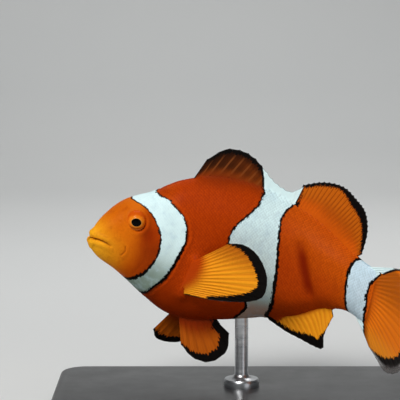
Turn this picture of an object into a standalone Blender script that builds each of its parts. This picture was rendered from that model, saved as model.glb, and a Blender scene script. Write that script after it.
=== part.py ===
"""A life-size clown anemonefish, cast as a still museum model on a small display stand.

The fish is first modelled straight: x runs from the snout to the tail, y across the body with
the fish's left side at -y, and z up. Every solid is then bent along the swimming curve, rolled
and pitched, and set down on the stand. Lengths are in millimetres up to that last step.
"""
import math

import bmesh
import bpy
from mathutils import Matrix, Vector

MM = 0.001
GAP = 0.3                      # clearance between neighbouring solids

# ---- the body, straight: stations of (x, value) in millimetres --------------------------------
BACK = [(0, 1.1), (0.7, 2.2), (1.5, 2.95), (3.7, 5.05), (5.5, 6.8), (7.6, 8.3), (10, 9.4),
        (13.1, 10.6), (19.2, 14.0), (25, 15.9), (31, 16.0), (39.6, 14.3), (50.4, 11.3), (58, 8.0),
        (62.5, 6.3), (69, 6.2)]
BELLY = [(0, -1.9), (0.7, -3.1), (1.4, -3.8), (7.4, -7.7), (14.7, -13.2), (19.7, -16.3), (25, -17.5),
         (33, -16.4), (42, -13.9), (49, -11.8), (55, -8.0), (61, -5.8), (69, -6.2)]
HALF_WIDTH = [(0, 1.0), (2.2, 2.6), (5.8, 4.4), (10, 5.8), (15, 6.8), (20, 7.2), (27, 7.3),
              (36, 6.7), (43, 5.9), (50, 4.9), (58, 3.6), (64, 2.6), (69, 1.9)]

# ---- where the body is parted: (x at the ridges, extra x at mid-height) ------------------------
GILL_CUT = (16.6, 5.2)
VENT_CUT = (41.0, 1.6)
STEM_CUT = (59.0, 0.0)
SNOUT_CUT = (0.0, -0.3)
TAIL_CUT = (66.6, 1.7)

# ---- head details ------------------------------------------------------------------------------
EYE_PLACE = (9.0, 5.1)         # x and z of the eye's middle
EYE_RADIUS = 2.35
EYE_SINK = 1.35                # how far the eyeball's centre lies under the cheek
GILL_COVER_THICK = 1.0
MOUTH_LINE = [(-2.0, -0.4), (2.2, -0.45), (4.6, -1.5)]
JAW_REAR = [(5.9, -2.9), (7.4, -9.0), (-2.0, -9.0)]

# ---- fins: root line and outer edge as (x, z), both at equal steps along the fin ----------------
FIN_THICK = (1.0, 0.55)        # at the root and at the edge
SPINY_ROOT = (22.0, 43.6)
SPINY_EDGE = [(23.4, 19.4), (27.0, 22.3), (30.6, 22.6), (33.6, 21.5), (36.2, 19.4), (38.4, 17.5),
              (40.6, 16.3), (42.8, 16.0), (44.7, 17.2)]
SOFT_ROOT = (44.1, 60.6)
SOFT_EDGE = [(45.3, 18.0), (49.4, 19.8), (54.0, 20.2), (57.9, 18.7), (61.0, 16.8),
             (62.5, 13.0), (62.2, 7.6)]
ANAL_ROOT = (43.0, 57.2)
ANAL_EDGE = [(44.1, -14.5), (48.0, -15.8), (51.6, -16.4), (55.0, -16.8), (57.4, -16.4),
             (58.2, -13.4), (58.4, -8.0)]
CAUDAL_ROOT = [(66.9, 6.2), (68.6, 0.0), (66.9, -6.2)]
CAUDAL_EDGE = [(73.0, 8.8), (80.4, 10.6), (85.6, 7.2), (87.6, 0.0), (86.4, -8.0),
               (79.4, -12.0), (70.6, -10.4)]
PECTORAL_ROOT = [(24.0, -1.6), (23.1, -9.8)]
PECTORAL_EDGE = [(31.0, 5.1), (34.7, 5.9), (38.4, 5.2), (41.8, 3.1), (44.2, 0.2),
                 (43.9, -3.3), (40.0, -5.8), (34.6, -7.6), (28.8, -8.9)]
PECTORAL_SPREAD = 22.0         # degrees between the fin and the flank
PELVIC_ROOT = [(23.8, -17.3), (28.2, -17.0)]
PELVIC_EDGE = [(25.2, -22.4), (28.4, -24.7), (32.5, -24.9), (35.5, -22.0), (35.2, -18.2)]
PELVIC_SPREAD = 16.0           # degrees outward from straight down
PELVIC_HALF_GAP = 2.0          # from the midline to each pelvic root
RIGHT_PELVIC_SWING = 0.8       # forward sweep of the right pelvic fin, per mm below its root
RIGHT_PELVIC_AHEAD = 1.6       # and how far ahead of the left one its root starts

# ---- the swimming pose --------------------------------------------------------------------------
HEADING = [(0, 30), (14.4, 16), (30, 2), (44.6, -14), (59, -42), (72, -64), (93, -74)]
ROLL = 10.0                    # degrees, the back leaning toward the fish's left
PITCH = 10.5                   # degrees, nose up

# ---- the stand ----------------------------------------------------------------------------------
BASE_LENGTH, BASE_DEPTH, BASE_THICK = 84.0, 48.0, 5.0
BASE_CORNER, BASE_CHAMFER = 6.0, 0.8
FIN_CLEARANCE = 5.8            # between the base and the lowest fin tip
ROD_RADIUS, ROD_FOOT_RADIUS, ROD_FOOT_HEIGHT = 1.5, 4.0, 1.4
ROD_PLACE = 37.6               # x on the belly where the rod enters
ROD_SET_BACK = 4.0             # of the rod from the base's middle
ROD_DEPTH = 4.0                # how far it goes in


# =============================== curves and shapes ===============================================
def curve(stations, x):
    """Smooth value at x through a list of (x, value) stations, held level past both ends."""
    if x <= stations[0][0]:
        return stations[0][1]
    if x >= stations[-1][0]:
        return stations[-1][1]
    spans = [stations[i + 1][0] - stations[i][0] for i in range(len(stations) - 1)]
    rises = [(stations[i + 1][1] - stations[i][1]) / spans[i] for i in range(len(spans))]
    i = 0
    while x > stations[i + 1][0]:
        i += 1

    def slope(k):
        if k == 0:
            return rises[0]
        if k == len(rises):
            return rises[-1]
        total = spans[k - 1] + spans[k]
        return (rises[k - 1] * spans[k] + rises[k] * spans[k - 1]) / total

    t = (x - stations[i][0]) / spans[i]
    start, end = stations[i][1], stations[i + 1][1]
    return ((2 * t ** 3 - 3 * t ** 2 + 1) * start + (3 * t ** 2 - 2 * t ** 3) * end
            + (t ** 3 - 2 * t ** 2 + t) * spans[i] * slope(i)
            + (t ** 3 - t ** 2) * spans[i] * slope(i + 1))


def along(points, t):
    """Point at fraction t of a smooth line through equally spaced points."""
    steps = len(points) - 1
    return tuple(curve([(i / steps, p[axis]) for i, p in enumerate(points)], t)
                 for axis in (0, 1))


def flank(x, q, inset=0.0):
    """Half-width and height of the body at x, where q runs from -1 on the belly to 1 on the back."""
    top, bottom = curve(BACK, x), curve(BELLY, x)
    height = (top + bottom) / 2 + q * (top - bottom) / 2
    swell = max(1 - q * q, 0.0) ** 0.44 * (1 + 0.06 * q)
    return max(curve(HALF_WIDTH, x) * swell - inset, 0.0), height


def side_q(x, z):
    """The q at which the body's side has the height z."""
    top, bottom = curve(BACK, x), curve(BELLY, x)
    return (z - (top + bottom) / 2) / ((top - bottom) / 2)


def cut_x(cut, q):
    return cut[0] + cut[1] * (1 - q * q)


# =============================== meshes ==========================================================
def lattice(columns, rows):
    """A closed box of quads over the unit square, its two faces at z = 0 and z = 1."""
    mesh = bmesh.new()
    bmesh.ops.create_grid(mesh, x_segments=columns, y_segments=rows, size=0.5)
    bmesh.ops.translate(mesh, verts=mesh.verts, vec=(0.5, 0.5, 0))
    raised = bmesh.ops.extrude_face_region(mesh, geom=mesh.faces[:], use_keep_orig=True)
    corners = [g for g in raised["geom"] if isinstance(g, bmesh.types.BMVert)]
    bmesh.ops.translate(mesh, verts=corners, vec=(0, 0, 1))
    return mesh


def make_object(name, mesh, material):
    bmesh.ops.remove_doubles(mesh, verts=mesh.verts, dist=1e-5)
    bmesh.ops.recalc_face_normals(mesh, faces=mesh.faces)
    data = bpy.data.meshes.new(name)
    mesh.to_mesh(data)
    mesh.free()
    obj = bpy.data.objects.new(name, data)
    bpy.context.collection.objects.link(obj)
    data.materials.append(material)
    return obj


def body_piece(name, material, front, rear, columns, rows, inset=0.0):
    """The stretch of body between two cuts, less the clearance at the rear one."""
    mesh = lattice(columns, rows)
    for vert in mesh.verts:
        q = math.sin((vert.co.y - 0.5) * math.pi)
        start = cut_x(front, q)
        x = start + (cut_x(rear, q) - start) * vert.co.x
        half, height = flank(x, q, inset)
        vert.co = Vector((x, half if vert.co.z > 0.5 else -half, height))
    return make_object(name, mesh, material)


def fin_sheet(name, material, root, edge, columns, rows, place):
    """A thin plate from a root line to an outer edge; place() sets a plate point on the body."""
    mesh = lattice(columns, rows)
    for vert in mesh.verts:
        t, reach, face = vert.co
        start, end = root(t), edge(t)
        thick = FIN_THICK[0] + (FIN_THICK[1] - FIN_THICK[0]) * reach
        x = start[0] + (end[0] - start[0]) * reach
        z = start[1] + (end[1] - start[1]) * reach
        vert.co = place(x, z, (face - 0.5) * thick)
    return make_object(name, mesh, material)


def prism(name, outline, near, far):
    """A block with the (x, z) outline, from y = near to y = far."""
    mesh = bmesh.new()
    base = mesh.faces.new([mesh.verts.new((x, near, z)) for x, z in outline])
    raised = bmesh.ops.extrude_face_region(mesh, geom=[base], use_keep_orig=True)
    corners = [g for g in raised["geom"] if isinstance(g, bmesh.types.BMVert)]
    bmesh.ops.translate(mesh, verts=corners, vec=(0, far - near, 0))
    return make_object(name, mesh, plain("cutter", (0.5, 0.5, 0.5), 0.5))


def grown(outline, margin):
    """The outline moved outward by the margin at every corner."""
    count = len(outline)
    area = sum(outline[i][0] * outline[(i + 1) % count][1]
               - outline[(i + 1) % count][0] * outline[i][1] for i in range(count))
    side = 1 if area > 0 else -1
    result = []
    for i in range(count):
        before = Vector(outline[i]) - Vector(outline[i - 1])
        after = Vector(outline[(i + 1) % count]) - Vector(outline[i])
        first = Vector((before.y, -before.x)).normalized() * side
        second = Vector((after.y, -after.x)).normalized() * side
        bisector = (first + second).normalized()
        result.append(tuple(Vector(outline[i]) + bisector * margin / bisector.dot(first)))
    return result


def combine(obj, cutter, operation):
    """Apply one exact boolean to obj and drop the cutter."""
    modifier = obj.modifiers.new("cut", "BOOLEAN")
    modifier.solver = "EXACT"
    modifier.operation = operation
    modifier.object = cutter
    graph = bpy.context.evaluated_depsgraph_get()
    result = bpy.data.meshes.new_from_object(obj.evaluated_get(graph))
    obj.modifiers.clear()
    old = obj.data
    obj.data = result
    bpy.data.meshes.remove(old)
    bpy.data.objects.remove(cutter)
    return obj


# =============================== the pose ========================================================
def swimming_line():
    """Heading and place along the bent midline, every half millimetre."""
    line, place, step = [], Vector((0, 0)), 0.5
    for i in range(200):
        angle = math.radians(curve(HEADING, i * step))
        line.append((angle, place.copy()))
        middle = math.radians(curve(HEADING, (i + 0.5) * step))
        place += Vector((math.cos(middle), math.sin(middle))) * step
    return line, step


LINE, LINE_STEP = swimming_line()
TILT = Matrix.Rotation(math.radians(PITCH), 3, "Y") @ Matrix.Rotation(math.radians(ROLL), 3, "X")


def bend(point):
    """A straight-fish point carried along the swimming line, then rolled and pitched."""
    x = max(point[0], 0.0)
    index = min(int(x / LINE_STEP), len(LINE) - 2)
    part = x / LINE_STEP - index
    angle = LINE[index][0] + (LINE[index + 1][0] - LINE[index][0]) * part
    place = LINE[index][1].lerp(LINE[index + 1][1], part)
    ahead = Vector((math.cos(angle), math.sin(angle)))
    across = Vector((-math.sin(angle), math.cos(angle)))
    flat = place + ahead * (point[0] - x) + across * point[1]
    return TILT @ Vector((flat.x, flat.y, point[2]))


def pose(obj):
    """Bend every corner of a straight solid into the pose."""
    mesh = bmesh.new()
    mesh.from_mesh(obj.data)
    bmesh.ops.remove_doubles(mesh, verts=mesh.verts, dist=1e-4)
    bmesh.ops.triangulate(mesh, faces=mesh.faces)
    for vert in mesh.verts:
        vert.co = bend(vert.co)
    bmesh.ops.recalc_face_normals(mesh, faces=mesh.faces)
    mesh.to_mesh(obj.data)
    mesh.free()
    return obj


# =============================== materials =======================================================
def plain(name, color, roughness, metallic=0.0):
    material = bpy.data.materials.get(name)
    if material is None:
        material = bpy.data.materials.new(name)
        material.use_nodes = True
        shader = material.node_tree.nodes["Principled BSDF"]
        shader.inputs["Base Color"].default_value = (*color, 1)
        shader.inputs["Roughness"].default_value = roughness
        shader.inputs["Metallic"].default_value = metallic
    return material


def orange_skin(name, color=(0.60, 0.16, 0.02)):
    return plain(name, color, 0.42)


# =============================== the fish ========================================================
def make_head():
    """Head, lower jaw and the two gill covers, with sockets left for the eyes."""
    gill_rear = (GILL_CUT[0] - GAP, GILL_CUT[1])
    cover_front = [(17.4, 6.9), (14.0, 6.3), (12.2, 3.0), (11.6, -2.0), (12.0, -5.6),
                   (13.4, -8.4), (15.6, -10.0)]
    outline = cover_front + [(26.0, -10.0), (26.0, 6.9)]
    head = body_piece("head", orange_skin("head_skin"), SNOUT_CUT, gill_rear, 14, 16)
    for side, near in (("left", -12.0), ("right", 0.0)):
        cover = body_piece("gill_cover_" + side, orange_skin("gill_cover_skin_" + side),
                           (9.0, 0.0), gill_rear, 10, 16)
        combine(cover, prism("shape", outline, near, near + 12.0), "INTERSECT")
        core = body_piece("core", plain("cutter", (0.5, 0.5, 0.5), 0.5), (8.0, 0.0),
                          (24.0, 0.0), 10, 16, inset=GILL_COVER_THICK)
        combine(cover, core, "DIFFERENCE")
        pocket = prism("pocket", grown(outline, GAP), near, near + 12.0)
        core = body_piece("core", plain("cutter", (0.5, 0.5, 0.5), 0.5), (8.0, 0.0),
                          (24.0, 0.0), 10, 16, inset=GILL_COVER_THICK + GAP)
        combine(head, combine(pocket, core, "DIFFERENCE"), "DIFFERENCE")
        pose(cover)
    jaw_outline = MOUTH_LINE + JAW_REAR
    jaw = body_piece("lower_jaw", orange_skin("jaw_skin", (0.75, 0.28, 0.03)), SNOUT_CUT,
                     gill_rear, 14, 16)
    combine(jaw, prism("shape", jaw_outline, -10, 10), "INTERSECT")
    combine(head, prism("shape", grown(jaw_outline, GAP), -10, 10), "DIFFERENCE")
    for side in (-1, 1):
        combine(head, ball("socket", eye_centre(side), EYE_RADIUS + GAP, 20, 10), "DIFFERENCE")
    pose(head)
    pose(jaw)


def eye_centre(side):
    x, z = EYE_PLACE
    half, height = flank(x, side_q(x, z))
    return Vector((x, side * (half - EYE_SINK), height))


def ball(name, centre, radius, around, rings):
    mesh = bmesh.new()
    bmesh.ops.create_uvsphere(mesh, u_segments=around, v_segments=rings, radius=radius)
    bmesh.ops.rotate(mesh, verts=mesh.verts, matrix=Matrix.Rotation(math.pi / 2, 3, "X"))
    bmesh.ops.translate(mesh, verts=mesh.verts, vec=centre)
    return make_object(name, mesh, plain("eye", (0.02, 0.015, 0.01), 0.06))


def make_eyes():
    for side, name in ((-1, "eye_left"), (1, "eye_right")):
        eye = ball(name, eye_centre(side), EYE_RADIUS, 20, 10)
        shade_round(pose(eye))


def make_body():
    skin = orange_skin("trunk_skin", (0.45, 0.10, 0.01))
    pose(body_piece("trunk_front", skin, GILL_CUT, (VENT_CUT[0] - GAP, VENT_CUT[1]), 12, 16))
    rear = body_piece("trunk_rear", orange_skin("trunk_rear_skin"), VENT_CUT,
                      (STEM_CUT[0] - GAP, STEM_CUT[1]), 9, 16)
    pose(rear)
    pose(body_piece("tail_stem", plain("tail_stem_skin", (0.55, 0.62, 0.72), 0.42),
                    STEM_CUT, TAIL_CUT, 6, 16))


def ridge_line(profile, span, lift):
    return lambda t: (span[0] + (span[1] - span[0]) * t,
                      curve(profile, span[0] + (span[1] - span[0]) * t) + lift)


def upright(x, z, offset):
    return Vector((x, offset, z))


def make_median_fins():
    """The fins on the fish's midline: both parts of the dorsal, the anal and the caudal."""
    jobs = [("dorsal_fin_spiny", ridge_line(BACK, SPINY_ROOT, GAP), SPINY_EDGE, 16, 3),
            ("dorsal_fin_soft", ridge_line(BACK, SOFT_ROOT, GAP), SOFT_EDGE, 12, 4),
            ("anal_fin", ridge_line(BELLY, ANAL_ROOT, -GAP), ANAL_EDGE, 12, 3),
            ("caudal_fin", lambda t: along(CAUDAL_ROOT, t), CAUDAL_EDGE, 14, 6)]
    for name, root, edge, columns, rows in jobs:
        fin = fin_sheet(name, orange_skin(name + "_skin"), root,
                        lambda t, line=edge: along(line, t), columns, rows, upright)
        pose(fin)


def make_paired_fins():
    root_x = PECTORAL_ROOT[1][0]
    lean = math.tan(math.radians(PECTORAL_SPREAD))
    drop = math.tan(math.radians(PELVIC_SPREAD))
    for side, word in ((-1, "left"), (1, "right")):
        def off_flank(x, z, offset, side=side):
            level = min(max(z, PECTORAL_ROOT[1][1]), PECTORAL_ROOT[0][1])
            half, _ = flank(root_x, side_q(root_x, level))
            return Vector((x, side * (half + 0.8 + (x - root_x) * lean + offset), z))

        def off_belly(x, z, offset, side=side):
            below = PELVIC_ROOT[0][1] - z
            swing = RIGHT_PELVIC_SWING * below + RIGHT_PELVIC_AHEAD if side > 0 else 0
            out = PELVIC_HALF_GAP + below * drop
            return Vector((x - swing, side * (out + offset), z - 0.4))

        pose(fin_sheet("pectoral_fin_" + word, orange_skin("pectoral_skin_" + word),
                       lambda t: along(PECTORAL_ROOT, t), lambda t: along(PECTORAL_EDGE, t),
                       14, 5, off_flank))
        pose(fin_sheet("pelvic_fin_" + word, orange_skin("pelvic_skin_" + word),
                       lambda t: along(PELVIC_ROOT, t), lambda t: along(PELVIC_EDGE, t),
                       8, 4, off_belly))


# =============================== the stand =======================================================
def shade_round(obj):
    for face in obj.data.polygons:
        face.use_smooth = True
    return obj


def make_base():
    mesh = bmesh.new()
    bmesh.ops.create_cube(mesh, size=1)
    bmesh.ops.scale(mesh, verts=mesh.verts, vec=(BASE_LENGTH, BASE_DEPTH, BASE_THICK))
    bmesh.ops.translate(mesh, verts=mesh.verts, vec=(0, 0, BASE_THICK / 2))
    uprights = [e for e in mesh.edges if abs(e.verts[0].co.z - e.verts[1].co.z) > 1]
    bmesh.ops.bevel(mesh, geom=uprights, offset=BASE_CORNER, segments=6, profile=0.5,
                    affect="EDGES", material=-1)
    rim = [e for e in mesh.edges if min(v.co.z for v in e.verts) > BASE_THICK - 0.01]
    bmesh.ops.bevel(mesh, geom=rim, offset=BASE_CHAMFER, segments=2, profile=0.5,
                    affect="EDGES", material=-1)
    return make_object("stand_base", mesh, plain("stand_base_black", (0.02, 0.02, 0.022), 0.3))


def make_rod(place, top):
    """A turned steel rod with a broad foot, standing on the base."""
    foot = BASE_THICK + GAP
    profile = [(0, foot), (ROD_FOOT_RADIUS, foot), (ROD_FOOT_RADIUS, foot + ROD_FOOT_HEIGHT),
               (ROD_RADIUS, foot + ROD_FOOT_HEIGHT + 0.8), (ROD_RADIUS, top - 0.3),
               (ROD_RADIUS - 0.3, top), (0, top)]
    mesh = bmesh.new()
    verts = [mesh.verts.new((radius, 0, height)) for radius, height in profile]
    edges = [mesh.edges.new(pair) for pair in zip(verts, verts[1:])]
    bmesh.ops.spin(mesh, geom=verts + edges, cent=(0, 0, 0), axis=(0, 0, 1),
                   angle=2 * math.pi, steps=24, use_merge=True)
    bmesh.ops.translate(mesh, verts=mesh.verts, vec=(place.x, place.y, 0))
    return make_object("stand_rod", mesh, plain("stand_steel", (0.55, 0.56, 0.57), 0.25, 1.0))


def bore(place, bottom, top):
    mesh = bmesh.new()
    bmesh.ops.create_cone(mesh, cap_ends=True, segments=24, radius1=ROD_RADIUS + GAP,
                          radius2=ROD_RADIUS + GAP, depth=top - bottom)
    bmesh.ops.translate(mesh, verts=mesh.verts, vec=(place.x, place.y, (top + bottom) / 2))
    return make_object("bore", mesh, plain("cutter", (0.5, 0.5, 0.5), 0.5))


# =============================== putting it together =============================================
def clear_scene():
    for obj in list(bpy.data.objects):
        bpy.data.objects.remove(obj)


def set_on_stand():
    """Lift the posed fish over the base, drill the belly and put in the rod."""
    fish = list(bpy.data.objects)
    corners = [v.co for obj in fish for v in obj.data.vertices]
    lowest = min(c.z for c in corners)
    middle_x = (min(c.x for c in corners) + max(c.x for c in corners)) / 2
    belly = bend((ROD_PLACE, 0, curve(BELLY, ROD_PLACE)))
    shift = Vector((-middle_x, ROD_SET_BACK - belly.y, BASE_THICK + FIN_CLEARANCE - lowest))
    for obj in fish:
        for vert in obj.data.vertices:
            vert.co += shift
    entry = belly + shift
    make_base()
    rod = shade_round(make_rod(entry, entry.z + ROD_DEPTH))
    hole = bore(entry, entry.z - 6, entry.z + ROD_DEPTH + GAP)
    combine(bpy.data.objects["trunk_front"], hole, "DIFFERENCE")
    print("fish shifted by", tuple(round(c, 2) for c in shift), "rod top", rod.data.vertices[0].co)


def to_metres():
    for obj in bpy.data.objects:
        obj.data.transform(Matrix.Scale(MM, 4))


def main():
    clear_scene()
    make_head()
    make_eyes()
    make_body()
    make_median_fins()
    make_paired_fins()
    set_on_stand()
    to_metres()


main()
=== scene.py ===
# %% [markdown]
# # A clown anemonefish, life-size, on a small stand
# The model is a still display piece. The frame that is loaded here holds its plain solids: the
# body in a few lengths, the fins as plates, the eyes and the stand. This script gives them their
# looks: one unbroken skin, scales, rayed fins, painted markings, eyes and a finished stand.

# %% Load the frame
import math

import bmesh
import bpy
import numpy as np
from mathutils import Matrix, Vector


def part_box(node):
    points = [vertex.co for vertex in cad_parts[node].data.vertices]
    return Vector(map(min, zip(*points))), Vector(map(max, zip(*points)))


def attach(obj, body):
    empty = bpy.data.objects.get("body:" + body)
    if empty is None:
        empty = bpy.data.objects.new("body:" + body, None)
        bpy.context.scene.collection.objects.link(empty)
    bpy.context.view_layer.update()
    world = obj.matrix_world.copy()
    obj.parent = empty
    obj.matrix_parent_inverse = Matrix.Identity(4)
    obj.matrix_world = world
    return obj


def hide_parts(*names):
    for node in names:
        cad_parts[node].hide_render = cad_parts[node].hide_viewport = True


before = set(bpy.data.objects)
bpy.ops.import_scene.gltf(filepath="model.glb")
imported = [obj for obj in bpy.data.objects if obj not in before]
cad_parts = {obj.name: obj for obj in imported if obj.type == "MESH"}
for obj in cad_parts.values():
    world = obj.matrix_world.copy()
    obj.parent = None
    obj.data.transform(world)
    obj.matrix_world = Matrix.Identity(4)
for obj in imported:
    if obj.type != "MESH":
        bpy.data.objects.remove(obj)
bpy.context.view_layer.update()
MM = 0.001
random = np.random.default_rng(7)

# %% [markdown]
# ## The straight fish
# A bent fish is hard to measure, so the solids were modelled straight and then bent. The same is
# done here: x runs from snout to tail, y across with the fish's left at -y, and z up, all in
# millimetres. The profiles follow the solids' own stations, and one smooth curve runs through
# each list. Working on whole arrays keeps it quick on meshes with many corners.

# %% Profiles of the straight fish
BACK = [(0, 1.4), (1.5, 2.95), (3.7, 5.05), (5.5, 6.8), (7.6, 8.3), (10, 9.4), (13.1, 10.5),
        (19.2, 13.9), (25, 15.9), (31, 16.0), (39.6, 14.3), (50.4, 11.3), (58, 8.0), (62.5, 6.3),
        (69, 6.2)]
BELLY = [(0, -2.5), (1.4, -3.8), (7.4, -7.7), (14.7, -13.2), (19.7, -16.3), (25, -17.5),
         (33, -16.4), (42, -13.9), (49, -11.8), (55, -8.0), (61, -5.8), (69, -6.2)]
HALF_WIDTH = [(0, 1.0), (2.2, 2.6), (5.8, 4.4), (10, 5.8), (15, 6.8), (20, 7.2), (27, 7.3),
              (36, 6.7), (43, 5.9), (50, 4.9), (58, 3.6), (64, 2.6), (69, 1.9)]
EYE_PLACE = (9.0, 5.1)
EYE_RADIUS, EYE_SINK = 2.35, 1.35
FAR_EYE_DROP, FAR_EYE_SINK, FAR_EYE_RING = -0.4, 0.35, 0.4
HEADING = [(0, 30), (14.4, 16), (30, 2), (44.6, -14), (59, -42), (72, -64), (93, -74)]
ROLL, PITCH = 10.0, 10.5


def curve(stations, x):
    """Smooth values at x through (x, value) stations, held level past both ends."""
    xs = np.array([s[0] for s in stations], float)
    ys = np.array([s[1] for s in stations], float)
    spans, rises = np.diff(xs), np.diff(ys) / np.diff(xs)
    slopes = np.concatenate([[rises[0]], (rises[:-1] * spans[1:] + rises[1:] * spans[:-1])
                             / (spans[1:] + spans[:-1]), [rises[-1]]])
    x = np.clip(np.asarray(x, float), xs[0], xs[-1])
    i = np.clip(np.searchsorted(xs, x, "right") - 1, 0, len(spans) - 1)
    t = (x - xs[i]) / spans[i]
    return ((2 * t ** 3 - 3 * t ** 2 + 1) * ys[i] + (3 * t ** 2 - 2 * t ** 3) * ys[i + 1]
            + (t ** 3 - 2 * t ** 2 + t) * spans[i] * slopes[i]
            + (t ** 3 - t ** 2) * spans[i] * slopes[i + 1])


def spaced(values, t):
    """A smooth curve through equally spaced values, at fraction t along it."""
    return curve([(i / (len(values) - 1), v) for i, v in enumerate(values)], t)


def along(points, t):
    """Two coordinates at fraction t of a smooth line through equally spaced points."""
    return tuple(spaced(values, t) for values in zip(*points))


def smooth(low, high, x):
    """Rises from 0 at low to 1 at high, with level ends."""
    t = np.clip((x - low) / (high - low), 0, 1)
    return t * t * (3 - 2 * t)


def bump(distance, width):
    return np.exp(-(distance / width) ** 2)


def girth_point(x, degrees):
    """Half-width and height of the body at x; degrees run from -90, belly, to 90, back."""
    q = np.sin(np.radians(degrees))
    top, bottom = curve(BACK, x), curve(BELLY, x)
    under_fins = (smooth(0.4, 1, q) * smooth(17, 27, x) * (1 - smooth(57, 64, x))
                  + smooth(-0.5, -1, q) * smooth(40, 46, x) * (1 - smooth(54, 61, x)))
    power = 0.44 + 0.34 * under_fins
    half = curve(HALF_WIDTH, x) * np.maximum(1 - q * q, 0) ** power * (1 + 0.06 * q)
    return half, (top + bottom) / 2 + q * (top - bottom) / 2


def girth_degrees(x, z):
    """The inverse: the angle at a height. Past the back or belly it goes on, 3 degrees a mm."""
    top, bottom = curve(BACK, x), curve(BELLY, x)
    q = (z - (top + bottom) / 2) / ((top - bottom) / 2)
    inside = np.degrees(np.arcsin(np.clip(q, -1, 1)))
    return inside + 3 * np.maximum(z - top, 0) - 3 * np.maximum(bottom - z, 0)


def eye_height(side):
    """The height of an eye's middle; the far, right one is set a little lower."""
    return EYE_PLACE[1] + (FAR_EYE_DROP if side > 0 else 0)


print("depth at x = 27:", round(float(curve(BACK, 27) - curve(BELLY, 27)), 1), "mm")

# %% [markdown]
# ## The swimming bend
# The midline turns like the stroke of a swimming fish: the head and the tail both swing to the
# fish's left. The heading at each place is added up into a path, and a straight point is
# carried to it. The whole is then rolled and pitched, and moved to where the solids stand, which
# is read from one corner of the soft dorsal fin's solid.

# %% Bend straight points into the pose
STEP = 0.25
PATH_X = np.arange(0, 100, STEP)
PATH_ANGLE = np.radians(curve(HEADING, PATH_X))
MIDDLE = np.radians(curve(HEADING, PATH_X[:-1] + STEP / 2))
PATH = np.concatenate([[(0.0, 0.0)],
                       np.cumsum(np.stack([np.cos(MIDDLE), np.sin(MIDDLE)], 1) * STEP, 0)])
TILT = np.array(Matrix.Rotation(math.radians(PITCH), 3, "Y")
                @ Matrix.Rotation(math.radians(ROLL), 3, "X"))


def bent(points):
    """Straight millimetres to bent millimetres, with the snout at the origin."""
    points = np.asarray(points, float)
    x = np.maximum(points[:, 0], 0)
    angle = np.interp(x, PATH_X, PATH_ANGLE)
    ahead = np.stack([np.cos(angle), np.sin(angle)], 1)
    across = np.stack([-ahead[:, 1], ahead[:, 0]], 1)
    flat = (np.stack([np.interp(x, PATH_X, PATH[:, 0]), np.interp(x, PATH_X, PATH[:, 1])], 1)
            + ahead * (points[:, 0] - x)[:, None] + across * points[:, 1:2])
    return np.column_stack([flat, points[:, 2]]) @ TILT.T


def find_shift():
    """How far the solids stand from the bent fish: matched on the soft dorsal fin's corner."""
    ends = bent([(44.1, side * 0.5, curve(BACK, 44.1) + 0.3) for side in (-1, 1)])
    solid = np.array([v.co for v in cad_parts["dorsal_fin_soft"].data.vertices]) / MM
    return solid[solid[:, 0].argmin()] - ends[ends[:, 0].argmin()]


SHIFT = find_shift()


def placed(points):
    """Straight millimetres to the frame's metres."""
    return (bent(points) + SHIFT) * MM


print("shift from the bent fish to the stand:", np.round(SHIFT, 2), "mm")

# %% [markdown]
# ## The white bars
# A clown anemonefish has three white bars with black edges. They are painted markings, so they
# belong to the surface and not to the mesh. Each bar's front and rear edge is a smooth line of x
# against the girth angle, and every corner of the skin, scales and fins is given its signed
# distance to the nearest edge, in millimetres. The shader then only compares that with the black
# line's width, which keeps the edges sharp at any mesh density and the same on every piece.

# %% Edges of the bars and the distance to them
HEAD_BAR = dict(front=[(-90, 9.5), (-45, 11.6), (-22, 13.5), (4, 15.0), (16, 14.8), (28, 14.0),
                       (53, 11.4), (75, 9.2), (90, 8.6)],
                rear=[(-90, 12.8), (-60, 14.0), (-39, 15.2), (-23, 17.1), (3, 19.4),
                      (14, 20.4), (26, 20.1), (55, 16.3), (75, 14.1), (90, 13.4)],
                front_line=[(-90, 0.8), (-40, 0.65), (0, 0.42), (40, 0.28), (90, 0.3)],
                rear_line=[(-90, 0.7), (-20, 0.8), (0, 0.9), (22, 0.45), (60, 0.3), (90, 0.35)])
MID_BAR = dict(front=[(-90, 36.0), (-64, 36.9), (-47, 38.6), (-25, 36.6), (0, 32.4),
                      (14, 31.2), (25, 31.8), (37, 34.1), (51, 36.4), (68, 37.1), (90, 36.9),
                      (97, 36.4), (106, 35.4), (114, 35.2)],
               rear=[(-96, 44.2), (-90, 43.4), (-36, 43.8), (-2, 43.5), (27, 42.6), (52, 42.1),
                     (61, 42.6), (75, 43.5), (90, 44.0), (96, 44.7), (103, 45.5)],
               front_line=[(-90, 0.9), (-30, 0.7), (10, 0.5), (114, 0.5)],
               rear_line=[(-96, 0.9), (-30, 0.95), (20, 0.7), (60, 0.5), (103, 0.45)])
TAIL_BAR = dict(front=[(-90, 63.3), (0, 62.7), (30, 62.3), (60, 62.0), (90, 62.3)],
                rear=[(-106, 70.0), (-97, 68.0), (-90, 67.5), (-50, 67.3), (-15, 67.3),
                      (8, 67.1), (28, 67.3), (43, 67.9), (57, 68.6), (70, 69.2), (90, 69.9),
                      (96, 72.6), (101, 75.6), (106, 79.5)],
                front_line=[(-90, 0.8), (90, 0.75)],
                rear_line=[(-106, 0.4), (-90, 0.55), (0, 0.6), (106, 0.5)])


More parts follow.
